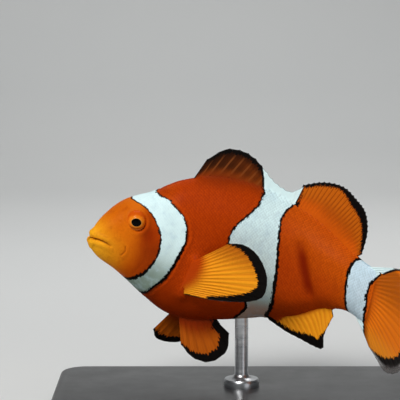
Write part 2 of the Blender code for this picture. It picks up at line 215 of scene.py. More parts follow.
def markings(x, degrees):
    """Signed distance to the nearest bar's edge, positive in the white, and its line's width."""
    per_degree = np.maximum(curve(BACK, x) - curve(BELLY, x), 10) * 0.0065
    per_degree = np.where(np.abs(degrees) > 90, 1 / 3, per_degree)
    edge, ink = np.full(np.shape(x), -99.0), np.zeros(np.shape(x))
    for bar in (HEAD_BAR, MID_BAR, TAIL_BAR):
        sides = []
        for which, sign in (("front", 1), ("rear", -1)):
            line = curve(bar[which], degrees)
            slope = (curve(bar[which], degrees + 1) - curve(bar[which], degrees - 1)) / 2
            lean = np.sqrt(1 + (slope / per_degree) ** 2)
            sides.append(sign * (x - line) / lean)
        inside = np.minimum(*sides)
        width = np.where(sides[0] < sides[1], curve(bar["front_line"], degrees),
                         curve(bar["rear_line"], degrees))
        nearer = inside > edge
        edge, ink = np.where(nearer, inside, edge), np.where(nearer, width, ink)
    return edge, ink


print("mid bar at mid-height:", curve(MID_BAR["front"], 0), "to", curve(MID_BAR["rear"], 0), "mm")

# %% [markdown]
# ## Sheets of quads
# Every soft surface here starts as a flat grid from bmesh, one unit square. A shape function
# gives each grid corner its straight place and its painted values; then the whole sheet is bent
# at once. A fin has two faces, so its grid is extruded into a thin closed box first. The unit
# square is kept as the UV map too, which gives an even unwrap that follows the body.

# %% Grid helpers
def thicken(mesh, height):
    """Raise a copy of every face into a closed slab, and give its upper corners."""
    raised = bmesh.ops.extrude_face_region(mesh, geom=mesh.faces[:], use_keep_orig=True)
    top = [g for g in raised["geom"] if isinstance(g, bmesh.types.BMVert)]
    bmesh.ops.translate(mesh, verts=top, vec=(0, 0, height))
    return top


def mesh_data(mesh, name):
    data = bpy.data.meshes.new(name)
    mesh.to_mesh(data)
    mesh.free()
    return data


def unit_grid(columns, rows, closed):
    """A unit-square grid, or with closed a thin box of two such faces at z = 0 and z = 1."""
    mesh = bmesh.new()
    bmesh.ops.create_grid(mesh, x_segments=columns, y_segments=rows, size=0.5)
    bmesh.ops.translate(mesh, verts=mesh.verts, vec=(0.5, 0.5, 0))
    if closed:
        thicken(mesh, 1)
    return mesh_data(mesh, "grid")


def corners(data):
    flat = np.empty(len(data.vertices) * 3)
    data.vertices.foreach_get("co", flat)
    return flat.reshape(-1, 3)


def store(data, name, values):
    """Keep one painted value for each corner: a number, or a vector of three."""
    values = np.asarray(values, np.float32)
    kind, field = ("FLOAT", "value") if values.ndim == 1 else ("FLOAT_VECTOR", "vector")
    layer = data.attributes.get(name) or data.attributes.new(name, kind, "POINT")
    layer.data.foreach_set(field, values.ravel())


def bake_map(data, places):
    """The unwrap, from one (u, v) place for each corner."""
    loops = np.empty(len(data.loops), np.int32)
    data.loops.foreach_get("vertex_index", loops)
    layer = data.uv_layers.new(name="OFBake")
    layer.uv.foreach_set("vector", np.asarray(places, np.float32)[loops].ravel())


def finished(name, data, material, weld=0.0, smooth_faces=True):
    """Weld seams, turn faces outward, set the shading and put the piece on the part's one body."""
    mesh = bmesh.new()
    mesh.from_mesh(data)
    if weld:
        bmesh.ops.remove_doubles(mesh, verts=mesh.verts, dist=weld * MM)
    bmesh.ops.recalc_face_normals(mesh, faces=mesh.faces)
    for face in mesh.faces:
        face.smooth = smooth_faces
    mesh.to_mesh(data)
    mesh.free()
    data.name = name
    data.materials.append(material)
    piece = bpy.data.objects.new(name, data)
    bpy.context.scene.collection.objects.link(piece)
    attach(piece, "root")
    print(name, len(data.polygons), "faces")
    return piece


# %% [markdown]
# ## Shader maths as Python
# Long node trees are easier to read as sums. This small class wraps a node's output socket, so
# that + - * / on it add Math nodes, and a few named methods add the rest. Colours are mixed by
# their own node, because Math nodes would turn them grey.

# %% The socket class
class Paint:
    """A value in a material's node tree."""

    def __init__(self, tree, socket):
        self.tree, self.socket = tree, socket

    def node(self, kind, settings=None, inputs=None, output=0):
        made = self.tree.nodes.new(kind)
        for key, value in (settings or {}).items():
            setattr(made, key, value)
        for key, value in (inputs or {}).items():
            if isinstance(value, Paint):
                self.tree.links.new(value.socket, made.inputs[key])
            else:
                made.inputs[key].default_value = value
        return Paint(self.tree, made.outputs[output])

    def math(self, operation, *values):
        return self.node("ShaderNodeMath", {"operation": operation}, dict(enumerate(values)))

    def __add__(self, other):
        return self.math("ADD", self, other)

    def __sub__(self, other):
        return self.math("SUBTRACT", self, other)

    def __rsub__(self, other):
        return self.math("SUBTRACT", other, self)

    def __mul__(self, other):
        return self.math("MULTIPLY", self, other)

    def __truediv__(self, other):
        return self.math("DIVIDE", self, other)

    def sine(self):
        return self.math("SINE", self)

    def power(self, exponent):
        return self.math("POWER", self, exponent)

    def least(self, other):
        return self.math("MINIMUM", self, other)

    def most(self, other):
        return self.math("MAXIMUM", self, other)

    def rise(self, low, high):
        """0 below low, 1 above high, smooth between; low may be the greater."""
        return self.node("ShaderNodeMapRange", {"interpolation_type": "SMOOTHSTEP"},
                         {"Value": self, "From Min": low, "From Max": high})

    def noise(self, scale, detail=2.0, roughness=0.5):
        """Soft noise read at this vector, centred on 0 and about half a unit each way."""
        made = self.node("ShaderNodeTexNoise", {}, {"Vector": self, "Scale": scale,
                                                    "Detail": detail, "Roughness": roughness})
        return made - 0.5

    def split(self):
        made = self.tree.nodes.new("ShaderNodeSeparateXYZ")
        self.tree.links.new(self.socket, made.inputs[0])
        return [Paint(self.tree, s) for s in made.outputs]


def attribute(tree, name, output="Fac"):
    made = tree.nodes.new("ShaderNodeAttribute")
    made.attribute_name = name
    return Paint(tree, made.outputs[output])


def object_place(tree):
    return Paint(tree, tree.nodes.new("ShaderNodeTexCoord").outputs["Object"])


def rgb(red, green, blue):
    """Display values from 0 to 255 to the linear ones that shaders use."""
    return tuple((c / 255 / 12.92) if c < 11 else ((c / 255 + 0.055) / 1.055) ** 2.4
                 for c in (red, green, blue)) + (1.0,)


def mix(amount, first, second):
    """Colour first where amount is 0 and second where it is 1."""
    made = amount.tree.nodes.new("ShaderNodeMix")
    made.data_type = "RGBA"
    for socket, value in ((made.inputs["Factor"], amount), (made.inputs[6], first),
                          (made.inputs[7], second)):
        if isinstance(value, Paint):
            amount.tree.links.new(value.socket, socket)
        else:
            socket.default_value = value
    return Paint(amount.tree, made.outputs[2])


def surface(name, **constants):
    """A new material, its tree and its shader, with the given constant inputs."""
    material = bpy.data.materials.new(name)
    material.use_nodes = True
    shader = material.node_tree.nodes["Principled BSDF"]
    for key, value in constants.items():
        shader.inputs[key.replace("_", " ")].default_value = value
    return material, material.node_tree, shader


def drive(tree, shader, name, value):
    tree.links.new(value.socket, shader.inputs[name])


def relief(tree, shader, height, strength, distance):
    """Small bumps from a height value, into the shader's normal."""
    made = tree.nodes.new("ShaderNodeBump")
    made.inputs["Strength"].default_value = strength
    made.inputs["Distance"].default_value = distance
    tree.links.new(height.socket, made.inputs["Height"])
    tree.links.new(made.outputs[0], shader.inputs["Normal"])


print("shader helpers ready")

# %% [markdown]
# ## The fish's colours
# The ground colour is orange: yellow on the snout, red-orange over the shoulders, and clear orange
# on the rear. Painted shade darkens it to dark red behind the eye, and darkens the low cheek, the
# top of the head, the belly, the back under the spiny fin, a valley on the left flank and the
# mouth's creases. The bars are cool white, with painted shade low down and a painted bluish cool
# light on the tail bar, and black ink lines them. All of it reads the straight place of each
# corner, so skin and scales match. Slow noise breaks up the ground, fine noise frays the ink as
# pigment does round scales.

# %% Skin and scale paint
SNOUT, CHEEK, BLUSH_AND_SHADE = rgb(252, 178, 32), rgb(222, 114, 12), rgb(158, 48, 2)
SHOULDER, BELLY_SHADE = rgb(186, 63, 3), rgb(118, 34, 2)
REAR, REAR_TOP, VALLEY_SHADOW = rgb(192, 70, 6), rgb(208, 90, 10), rgb(122, 23, 0)
DORSAL, BROW_SHADE = rgb(176, 80, 9), rgb(188, 80, 8)
WHITE, SHADE_WHITE = rgb(222, 246, 248), rgb(158, 174, 162)
INK = rgb(12, 9, 8)
SHADE_SPOT_BEHIND_EYE, LOW_CHEEK_SHADE, UNDER_FIN_SHADE = rgb(128, 30, 0), rgb(122, 36, 2), rgb(88, 38, 10)
CREASE_SHADE, SCALE_RIM, WHITE_SCALE_RIM = rgb(88, 24, 4), rgb(128, 32, 2), rgb(130, 150, 158)
LOW_HEAD_BAR_SHADE, LOW_MID_BAR_SHADE = rgb(112, 130, 114), rgb(176, 132, 108)
STEM_BAR_COOL_LIGHT, WHITE_FLECK = rgb(206, 226, 250), rgb(192, 218, 228)
WEB_SHADE, WEB_RIM, SPINE = rgb(56, 25, 6), rgb(26, 12, 6), rgb(146, 80, 36)
FIN_MIDDLE_SHADE, TAIL_LOW_LIGHT, SHADOW_BESIDE_BAR = rgb(172, 84, 12), rgb(236, 156, 38), rgb(106, 30, 3)
GLASSY = rgb(104, 98, 96)


def ground_paint(tree):
    """The orange under the markings, from each corner's straight place."""
    straight = attribute(tree, "straight", "Vector")
    x, y, z = straight.split()
    blotch = straight.noise(0.16, 2.0)
    fine = straight.noise(2.2, 3.0, 0.6)
    slant = x + z.most(0.0) * 0.7 + z.least(0.0) * 0.15
    head = mix((slant + blotch * 4).rise(-1.0, 8.5), SNOUT, CHEEK)
    head = mix((x - z * 0.25 + blotch * 3).rise(6.5, 12.5) * 0.75, head, SHOULDER)
    # Painted shade: dark red behind the eye. The same red also serves as random mottling below.
    shade_behind_eye = (x + blotch * 3).rise(9.0, 12.5) * (x.rise(17.5, 14.5)) * z.rise(-5, 2)
    head = mix(shade_behind_eye * 0.7, head, BLUSH_AND_SHADE)
    # Painted shade: a dark red spot behind and below the eye.
    shade_spot = ((x - 11.4) * (x - 11.4) + (z - 2.8) * (z - 2.8)).power(0.5)
    head = mix((shade_spot + blotch).rise(2.9, 0.4) * 0.65, head, SHADE_SPOT_BEHIND_EYE)
    # Painted shade on the low rear cheek.
    head = mix((x + blotch * 2).rise(7.5, 13.0) * z.rise(3, -1) * 0.6, head, LOW_CHEEK_SHADE)
    rear = mix(((z + x * 0.7) + blotch * 8).rise(32, 46), REAR, REAR_TOP)
    rear = mix((z + x * 0.42 + blotch * 3).rise(32.5, 37), rear, DORSAL)
    body = mix((x + blotch * 3).rise(36, 43), SHOULDER, rear)
    # Painted shade: the top of the head in front of the eye darker.
    head = mix(z.rise(1, 8) * x.rise(13, 5) * 0.5, head, BROW_SHADE)
    ground = mix(x.rise(14, 19), head, body)
    mottle = straight.noise(0.5, 3.0, 0.6)
    ground = mix(mottle.rise(0.0, 0.3) * x.rise(20, 8) * 0.4, ground, BLUSH_AND_SHADE)
    # Painted shade: the belly darker toward the bottom.
    low = (z + x * 0.05 + blotch * 5).rise(-5, -16) * x.rise(8, 16)
    ground = mix(low * 0.8, ground, BELLY_SHADE)
    # Painted shade on the back under the spiny dorsal fin.
    crest = z + (x - 28) * (x - 28) * 0.012 + blotch * 2
    under_fin_shade = crest.rise(13.2, 17.0) * x.rise(19, 25) * x.rise(43, 38)
    ground = mix(under_fin_shade * 0.8, ground, UNDER_FIN_SHADE)
    # Painted shadow along the valley across the left flank, on the left side only.
    left = y.rise(0.5, -0.5)
    valley_shadow = (x + z * 0.47 - 51.2) / 1.9
    valley_shadow = (1 - (valley_shadow * valley_shadow).power(0.6).rise(0, 1.2)) * z.rise(-7, -2) * z.rise(8, 3)
    ground = mix(valley_shadow * left * 0.95, ground, VALLEY_SHADOW)
    # Painted shade in the mouth slit, the fold behind it and the nostrils.
    ground = mix(attribute(tree, "crease").rise(0.1, 1.0) * 0.85, ground, CREASE_SHADE)
    return straight, mix((fine + blotch * 0.6).rise(-0.25, 0.45) * 0.22, ground, BLUSH_AND_SHADE), fine


def marked_paint(tree, ground, straight):
    """Ground with the white bars and their black lines laid over it."""
    edge, ink = attribute(tree, "edge"), attribute(tree, "ink")
    x, _, z = straight.split()
    fray = straight.noise(1.6, 3.0, 0.7)
    cool = mix((z + straight.noise(0.12) * 14).rise(-14, 4), SHADE_WHITE, WHITE)
    # Painted shade: green-grey on the low head bar.
    cool = mix(x.rise(24, 18) * z.rise(-1, -7) * 0.7, cool, LOW_HEAD_BAR_SHADE)
    # Painted shade: warm grey on the low middle bar.
    cool = mix(z.rise(-8, -11.5) * x.rise(24, 28) * 0.85, cool, LOW_MID_BAR_SHADE)
    # Painted cool light: a bluish cast on the tail bar.
    cool = mix(x.rise(58, 64) * 0.5, cool, STEM_BAR_COOL_LIGHT)
    cool = mix(straight.noise(0.45, 3.0).rise(-0.05, 0.3) * 0.6, cool, WHITE_FLECK)
    line = (edge + ink + fray * 0.6).rise(-0.16, 0.16)
    white = (edge + fray * 0.3).rise(-0.1, 0.1)
    return mix(white, mix(line, ground, INK), cool), line, white


def skin_material(name, roughness, pores, scaled):
    """scaled adds the darker rear rim of each scale, from how far along it a place lies."""
    material, tree, shader = surface(name, Specular_IOR_Level=0.03)
    straight, ground, fine = ground_paint(tree)
    if scaled:
        lap = attribute(tree, "lap")
        ground = mix(lap.rise(0.35, 1.0) * 0.45, ground, SCALE_RIM)
    color, line, white = marked_paint(tree, ground, straight)
    if scaled:
        color = mix(lap.rise(0.35, 1.0) * 0.32 * white, color, WHITE_SCALE_RIM)
    drive(tree, shader, "Base Color", color)
    drive(tree, shader, "Roughness", fine * 0.2 + roughness)
    relief(tree, shader, straight.noise(pores, 3.0, 0.6) + fine * 0.5, 0.2, 0.00005)
    return material


SKIN = skin_material("fish_skin", 0.48, 4.0, False)
SCALE = skin_material("fish_scale", 0.5, 6.0, True)
print("skin and scale paint made")

# %% [markdown]
# ## One skin for the whole body
# On the real fish the head, gill covers, trunk and tail stem are one flesh, so one closed skin
# replaces all those solids, a scale's depth inside them behind the eyes. The head gets its folds by
# moving the skin along its own normal: lips and the mouth slit, nostrils, the ring round each eye
# with its socket, the gill cover's edge, the sheaths at the fins' roots and the swelling from
# which each pectoral fin grows. Under the fins the back and belly narrow to a ridge. How deep a
# place lies in the mouth or a nostril is kept too, so that painted shade can darken it there.

# %% Features of the skin
COAT_DEPTH = 0.12
SNOUT_START, TAIL_CLOSE = -0.35, 70.2
MOUTH = [(-1.0, -0.4), (1.0, -0.35), (2.2, -0.45), (3.0, -0.65), (3.9, -1.15)]
CREASE = [(7.0, -0.6), (7.2, -1.7), (6.6, -2.8)]
PECTORAL_ROOT = [(24.0, -1.6), (22.6, -9.8)]
PECTORAL_LOBE = [(23.6, -1.6), (27.0, -1.2)]
CHEEK_LINE = [(11.2, 3.4), (12.0, 0.0), (11.9, -3.0), (10.4, -6.6)]
VALLEY = [(48.6, 5.6), (50.9, 0.6), (52.9, -4.3)]
NOSTRIL = (5.3, 4.6)


def body_surface(x, degrees, side):
    """Skin before its folds: rounded off at the snout, thinned to an edge in the tail fin."""
    inside = np.clip(x, 0.5, 69.0)
    half, height = girth_point(inside, degrees)
    nose = np.sqrt(np.clip(1 - ((0.5 - x) / (0.5 - SNOUT_START)) ** 2, 0, 1))
    nose = np.where(x < 0.5, nose, 1.0)
    tail = 1 - 0.94 * smooth(64.4, TAIL_CLOSE, x)
    middle = -0.45
    z = middle + (height - middle) * nose
    upper = smooth(-0.5, 0.2, z - curve(MOUTH, x))
    back = (0.45 + 0.2 * upper) * (1 - smooth(-0.3, 3.8, x))
    return np.stack([x + back, side * half * nose * tail, z], 1)


def line_distance(points, x, z):
    """Distance in side view to a polyline, and how far along it, from 0 to 1."""
    best, place = np.full(np.shape(x), 1e9), np.zeros(np.shape(x))
    for i in range(len(points) - 1):
        (ax, az), (bx, bz) = points[i], points[i + 1]
        length = (bx - ax) ** 2 + (bz - az) ** 2
        t = np.clip(((x - ax) * (bx - ax) + (z - az) * (bz - az)) / length, 0, 1)
        gap = np.hypot(x - ax - t * (bx - ax), z - az - t * (bz - az))
        place = np.where(gap < best, (i + t) / (len(points) - 1), place)
        best = np.minimum(best, gap)
    return best, place


def gill_gap(x, degrees):
    """How far behind the gill cover's rear edge, which follows the head bar's."""
    return x - curve(HEAD_BAR["rear"], degrees) - 0.5


def folds(x, degrees, z, side):
    """Height of every fold over the plain skin, in millimetres."""
    height = -COAT_DEPTH * smooth(7, 13, x)
    over, gap = z - curve(MOUTH, x), line_distance(MOUTH, x, z)[0]
    lips = 1 - smooth(2.4, 4.6, x)
    height += 0.24 * bump(over - 0.8, 0.6) * lips + 0.30 * bump(over + 0.8, 0.7) * lips
    height -= 0.06 * bump(over - 1.8, 0.4) * lips
    height -= (0.75 - 0.52 * smooth(0.3, 2.6, x)) * bump(gap, 0.19) + 0.12 * bump(gap, 0.6)
    height -= 0.16 * bump(line_distance(CREASE, x, z)[0], 0.17)
    height += 0.08 * bump(line_distance(CREASE, x - 0.5, z)[0], 0.4)
    eye_x, eye_z = x - EYE_PLACE[0], z - eye_height(side)
    ring = np.hypot(eye_x, eye_z)
    brow = 1 + 0.5 * (0.8 * eye_z + 0.5 * eye_x) / np.maximum(ring, 0.3)
    near = 1.0 if side < 0 else FAR_EYE_RING
    height += 0.20 * near * brow * bump(ring - 2.45, 0.5)
    height -= 1.2 * (1 - smooth(1.70, 1.96, ring))
    nostril = np.hypot(x - NOSTRIL[0], z - NOSTRIL[1])
    height += 0.05 * bump(nostril - 0.36, 0.16) - 0.14 * bump(nostril, 0.2)
    gill = gill_gap(x, degrees)
    flap = smooth(-66, -50, degrees) * (1 - smooth(26, 40, degrees))
    height += flap * (0.22 * smooth(-3.0, -0.2, gill) * (1 - smooth(-0.15, 0.2, gill))
                      - 0.22 * bump(gill - 0.35, 0.35))
    height -= 0.05 * bump(line_distance(CHEEK_LINE, x, z)[0], 0.5)
    lobe = line_distance(PECTORAL_LOBE, x, z)[0]
    height += 0.75 * bump(line_distance(PECTORAL_ROOT, x, z)[0], 1.5) + 0.5 * bump(lobe, 1.2)
    sheath = bump(90 - degrees, 8) * smooth(21, 25, x) * (1 - smooth(58, 63, x))
    sheath += bump(90 + degrees, 8) * smooth(41, 45, x) * (1 - smooth(55, 60, x))
    height += 0.6 * sheath
    if side < 0:
        height -= 0.48 * bump(line_distance(VALLEY, x, z)[0], 1.6)
    return height


def creases(x, z):
    """How deep in the mouth, the fold behind it or a nostril, from 0 to 1, for the painted shade
    there.
    """
    mouth = bump(line_distance(MOUTH, x, z)[0], 0.2) * (1 - 0.6 * smooth(2.5, 4.2, x))
    fold = 0.55 * bump(line_distance(CREASE, x, z)[0], 0.2)
    nostril = 0.4 * bump(np.hypot(x - NOSTRIL[0], z - NOSTRIL[1]), 0.24)
    return np.maximum.reduce([mouth, fold, nostril])


def skin_points(x, degrees, side):
    """Straight places on the finished skin, and the outward normal there."""
    here = body_surface(x, degrees, side)
    ahead = body_surface(x + 0.05, degrees, side) - body_surface(x - 0.05, degrees, side)
    up = (body_surface(x, np.minimum(degrees + 0.5, 90), side)
          - body_surface(x, np.maximum(degrees - 0.5, -90), side))
    normal = np.cross(ahead, up) * np.reshape(-side * np.ones(len(x)), (-1, 1))
    length = np.linalg.norm(normal, axis=1, keepdims=True)
    normal = normal / np.maximum(length, 1e-9)
    ridge = smooth(87, 90, np.abs(degrees))[:, None]
    vertical = np.stack([0 * x, 0 * x, np.sign(degrees)], 1)
    normal = normal * (1 - ridge) + vertical * ridge
    return here + normal * folds(x, degrees, here[:, 2], side)[:, None], normal


# %% [markdown]
# ## Making the skin
# The grid's first direction runs from snout to tail, closer set on the head where the folds are;
# its second goes from the belly up the left side, over the back and down the right. The two long
# edges meet on the belly and are welded, and the ends close on the snout and the tail's edge.

# %% The skin mesh
def make_skin(columns=360, rows=220):
    data = unit_grid(columns, rows, False)
    u, v = corners(data)[:, 0], corners(data)[:, 1]
    x = SNOUT_START + (TAIL_CLOSE - SNOUT_START) * (0.42 * u + 0.58 * u ** 2.2)
    turn = np.where(v < 0.5, v * 2, 2 - v * 2)
    degrees = -90 + 180 * turn
    points = np.empty((len(u), 3))
    for side in (-1, 1):
        part = (v < 0.5) if side < 0 else (v >= 0.5)
        points[part] = skin_points(x[part], degrees[part], side)[0]
    points[u > 1 - 1e-6, 1] = 0
    edge, ink = markings(x, degrees)
    store(data, "straight", points)
    store(data, "edge", edge)
    store(data, "ink", ink)
    store(data, "crease", creases(x, points[:, 2]))
    bake_map(data, np.stack([u, v], 1))
    data.vertices.foreach_set("co", placed(points).ravel())
    skin = finished("fish_skin", data, SKIN, weld=0.002)
    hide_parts("head", "lower_jaw", "gill_cover_left", "gill_cover_right",
                "trunk_front", "trunk_rear", "tail_stem")


make_skin()

# %% [markdown]
# ## Scales
# The real fish wears small overlapping scales, free at the rear edge. One scale is modelled: a
# thin, slightly domed disc of nineteen faces. Its corners are then copied as arrays to every
# place in staggered rows, each lying along the skin with its front edge sunk under the one
# before. How far along its scale a place lies is kept, so that the paint can darken the rear
# rims, which draws the rows. Joined meshes like this export as they are; particles would not.

# %% One scale and the rows of them
SCALE_THICK, SCALE_TILT = 0.03, 0.03
SCALE_LENGTH, SCALE_WIDTH = 2.6, 1.12        # in column and row spacings
UNWRAP_LENGTH, UNWRAP_SCALE = 76, 0.003


def scale_template():
    """A domed disc about one unit across, as corner places and faces."""
    mesh = bmesh.new()
    bmesh.ops.create_circle(mesh, cap_ends=True, segments=9, radius=0.5)
    top = thicken(mesh, SCALE_THICK)
    lid = [f for f in mesh.faces if all(v in top for v in f.verts)]
    centre = bmesh.ops.poke(mesh, faces=lid)["verts"]
    bmesh.ops.translate(mesh, verts=centre, vec=(-0.06, 0, 0.3 * SCALE_THICK))
    bmesh.ops.recalc_face_normals(mesh, faces=mesh.faces)
    mesh.verts.index_update()
    places = np.array([v.co for v in mesh.verts])
    faces = [[v.index for v in f.verts] for f in mesh.faces]
    mesh.free()
    return places, faces


def scale_rows(start, stop, pitch, rise):
    """Centres (x, degrees) in staggered columns, at an even spacing round the girth."""
    degrees = np.linspace(-88, 88, 177)
    found = []
    for column, x in enumerate(np.arange(start, stop, pitch)):
        half, height = girth_point(np.full(len(degrees), x), degrees)
        steps = np.hypot(np.diff(half), np.diff(height))
        arc = np.concatenate([[0], np.cumsum(steps)])
        arc -= np.interp(0, degrees, arc)
        stagger = 0.5 * (column % 2)
        first, last = math.ceil(arc[0] / rise - stagger), math.floor(arc[-1] / rise - stagger)
        spots = (np.arange(first, last + 1) + stagger) * rise
        found += [(x, d) for d in np.interp(spots, arc, degrees)]
    return np.array(found)


def make_scales(name, side, start, stop, pitch, rise, fade, shade):
    """Rows of scales on one side; fade gives each place a size from 0, none, to 1, full, and
    shade is how dark their rear rims are."""
    places, faces = scale_template()
    spots = scale_rows(start, stop, pitch, rise)
    grown = fade(spots[:, 0], spots[:, 1])
    spots, grown = spots[grown > 0], grown[grown > 0]
    count = len(spots)
    x = spots[:, 0] + random.uniform(-0.06, 0.06, count) * pitch
    degrees = spots[:, 1] + random.uniform(-0.25, 0.25, count)
    root = skin_points(x, degrees, side)[0]
    ahead = skin_points(x + 0.3, degrees, side)[0] - skin_points(x - 0.3, degrees, side)[0]
    up = skin_points(x, degrees + 1, side)[0] - skin_points(x, degrees - 1, side)[0]
    normal = np.cross(ahead, up) * -side
    ahead /= np.linalg.norm(ahead, axis=1, keepdims=True)
    normal /= np.linalg.norm(normal, axis=1, keepdims=True)
    up = np.cross(normal, ahead)
    length = SCALE_LENGTH * pitch * (0.75 + 0.25 * grown) * random.uniform(0.95, 1.05, count)
    width = SCALE_WIDTH * rise * (0.75 + 0.25 * grown) * random.uniform(0.96, 1.04, count)
    local_a = places[:, 0][None, :] * length[:, None]
    local_b = places[:, 1][None, :] * width[:, None]
    lift = (local_a / pitch + 0.9) * SCALE_TILT + places[:, 2][None, :] - 0.01
    lift = lift * random.uniform(0.85, 1.15, count)[:, None] - local_b ** 2 / 16
    local_h = lift - 0.06 * (1 - grown)[:, None]
    points = (root[:, None] + ahead[:, None] * local_a[..., None] + up[:, None]
              * local_b[..., None] + normal[:, None] * local_h[..., None]).reshape(-1, 3)
    whole = [[i + k * len(places) for i in face] for k in range(count) for face in faces]
    data = bpy.data.meshes.new(name)
    data.from_pydata(points.tolist(), [], whole)
    edge, ink = markings(points[:, 0], girth_degrees(points[:, 0], points[:, 2]))
    ragged = np.repeat(random.uniform(-0.16, 0.16, count), len(places))
    store(data, "straight", points)
    store(data, "edge", edge + ragged)
    store(data, "ink", ink)
    lap = np.tile(places[:, 0] + 0.5, count) + np.repeat(random.uniform(-0.12, 0.12, count),
                                                         len(places))
    store(data, "lap", lap * shade)
    turn = (spots[:, 1] + 90) / 360
    turn = np.where(side < 0, turn, 1 - turn)
    patch = np.repeat(np.stack([spots[:, 0] / UNWRAP_LENGTH, turn], 1), len(places), 0)
    bake_map(data, patch + np.tile(places[:, :2], (count, 1)) * UNWRAP_SCALE)
    data.vertices.foreach_set("co", placed(points).ravel())
    coat = finished(name, data, SCALE, smooth_faces=False)
    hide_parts("trunk_front")


def on_cheek(x, degrees):
    """Scales of the face and gill cover: none on the snout or by the eye, full at the rear."""
    _, z = girth_point(x, degrees)
    eye = smooth(3.4, 6.0, np.hypot(x - EYE_PLACE[0], z - EYE_PLACE[1]))
    grown = eye * smooth(9.5, 14.5, x)
    return np.where(gill_gap(x, degrees) < -0.2, grown, 0)


def on_trunk(x, degrees):
    """Scales behind the gill opening, dying out on the tail fin's root."""
    grown = 1 - smooth(65.5, 68.5, x) - 0.5 * smooth(78, 88, np.abs(degrees))
    return np.where(gill_gap(x, degrees) > 0.5, grown, 0)


for side, word in ((-1, "left"), (1, "right")):
    make_scales("scales_cheek_" + word, side, 9.6, 21.5, 0.34, 0.68, on_cheek, 0.6)
    make_scales("scales_trunk_" + word, side, 13.4, 69.0, 0.4, 0.8, on_trunk, 1.0)

# %% [markdown]
# ## Rayed fins
# A fin is a thin skin held open by bony rays that fan out from its root. Each one is a closed
# sheet, nearly 1 mm thick at the root and 0.1 to 0.2 mm at the rim, that rises over every ray and
# dips between them, with the rays forking toward the rim. Rays stay lines of constant t on the
# grid, so ridges, colour streaks and the scalloped rim all share one count. The black margin is
# stored as a distance from the rim, so that the shader can fray it along the rays. Outside the
# black lies a glassy edge: hair-thin on most fins, but nearly 2 mm wide behind the tail fin.

# %% Fin paint
def fin_material(name, base, groove, haze=0.45, brown=0.0, contrast=0.8):
    """Body paint at the fleshy root, amber between dark grooves, black margin, glassy edge, and
    painted shade and light in set places; haze is how grey the glassy edge gets, and brown how
    strong the painted shade on the web between the spines."""
    material, tree, shader = surface(name, Specular_IOR_Level=0.05)
    straight, ground, speckle = ground_paint(tree)
    x, _, z = straight.split()
    ray, reach, flesh = (attribute(tree, n) for n in ("ray", "reach", "flesh"))
    margin, rim = attribute(tree, "margin"), attribute(tree, "rim")
    comb = (ray * (2 * math.pi) + math.pi / 2).sine()
    fork = (ray * (4 * math.pi) - math.pi / 2).sine()
    branch = (ray * (6 * math.pi) + math.pi / 2).sine()
    split = reach.rise(0.35, 0.8)
    streak = comb * (1 - split * 0.4) * 0.5 + (fork + branch) * split * 0.26 + speckle * 0.6
    color = mix(streak.rise(0.6, -0.8) * contrast, base, groove)
    if brown:
        # Painted shade: the web between the spines darkened to brown, most toward the front.
        shade = (reach + speckle * 0.2).rise(0.02, 0.5) * (x.rise(38, 27) * 0.5 + 0.5) * brown
        color = mix(shade, color, WEB_SHADE)
        color = mix(comb.rise(0.6, 0.98) * (shade + 0.25) * 0.45, color, SPINE)
        color = mix((margin + speckle).rise(-1.7, 0.1) * 0.75, color, WEB_RIM)
    else:
        # Painted shade: a darker band at middle height on the pectoral and tail fins.
        color = mix((z + speckle * 3).rise(-2, 5) * z.rise(9, 8) * 0.85, color, FIN_MIDDLE_SHADE)
        # Painted light: the tail fin's lower part brighter amber.
        color = mix(x.rise(66, 70) * z.rise(-4.5, -9) * 0.5, color, TAIL_LOW_LIGHT)
    color = mix((flesh + speckle * 0.25 + comb * 0.04).rise(0.05, 0.9), color, ground)
    jag = (branch * 0.2 + comb * 0.15 + speckle * 1.2) * margin.rise(-1.5, 0.1)
    black = (margin + jag).rise(-0.1, 0.1)
    color = mix(black, color, INK)
    edge, ink = attribute(tree, "edge"), attribute(tree, "ink")
    # Painted shadow: dark red on the tail fin beside the tail bar's black line.
    shadow_beside_bar = (edge + speckle * 0.4).rise(-2.5, -0.5) * z.rise(5, 2)
    color = mix(shadow_beside_bar * x.rise(65, 67) * 0.75, color, SHADOW_BESIDE_BAR)
    fray = straight.noise(1.3, 3.0, 0.65)
    color = mix((edge + ink + fray * 0.4).rise(-0.14, 0.14), color, INK)
    color = mix((edge + fray * 0.2).rise(-0.1, 0.1), color, WHITE)
    thin = (rim + speckle * 0.6).rise(1.0, 0.3)
    color = mix(thin * haze, color, GLASSY)
    drive(tree, shader, "Alpha", 1 - thin * 0.5)
    drive(tree, shader, "Base Color", color)
    drive(tree, shader, "Roughness", speckle * 0.2 + 0.45)
    relief(tree, shader, speckle + comb * 0.4, 0.3, 0.00005)
    return material


FIN_AMBER = fin_material("fin_amber", rgb(250, 162, 30), rgb(216, 114, 16), contrast=0.5)
FIN_TAIL = fin_material("fin_tail", rgb(236, 122, 20), rgb(200, 86, 10), 0.85, contrast=0.45)
FIN_SOFT = fin_material("fin_soft", rgb(205, 102, 15), rgb(138, 57, 6))
# The pelvic fins' own orange, darkened by painted shade under the belly.
FIN_BELLY_SHADED = fin_material("fin_belly_shaded", rgb(188, 92, 15), rgb(146, 64, 9), contrast=0.55)
FIN_DARK = fin_material("fin_dark", rgb(158, 70, 10), rgb(128, 52, 6), brown=0.95)
print("fin paint made")

# %% [markdown]
# ## Fin shapes
# The outlines follow the solids': a root line and an outer edge, at equal steps. A few points are
# moved by up to 1.1 mm, and the pelvic roots are wider than the solids'. The roots are
# carried a little way into the body, so that no light shows under them. The pectoral fins stand
# off the flank and the pelvic fins hang outward from the belly, as on the solids. The dorsal
# spines lean back, so each ray starts ahead of where it ends.

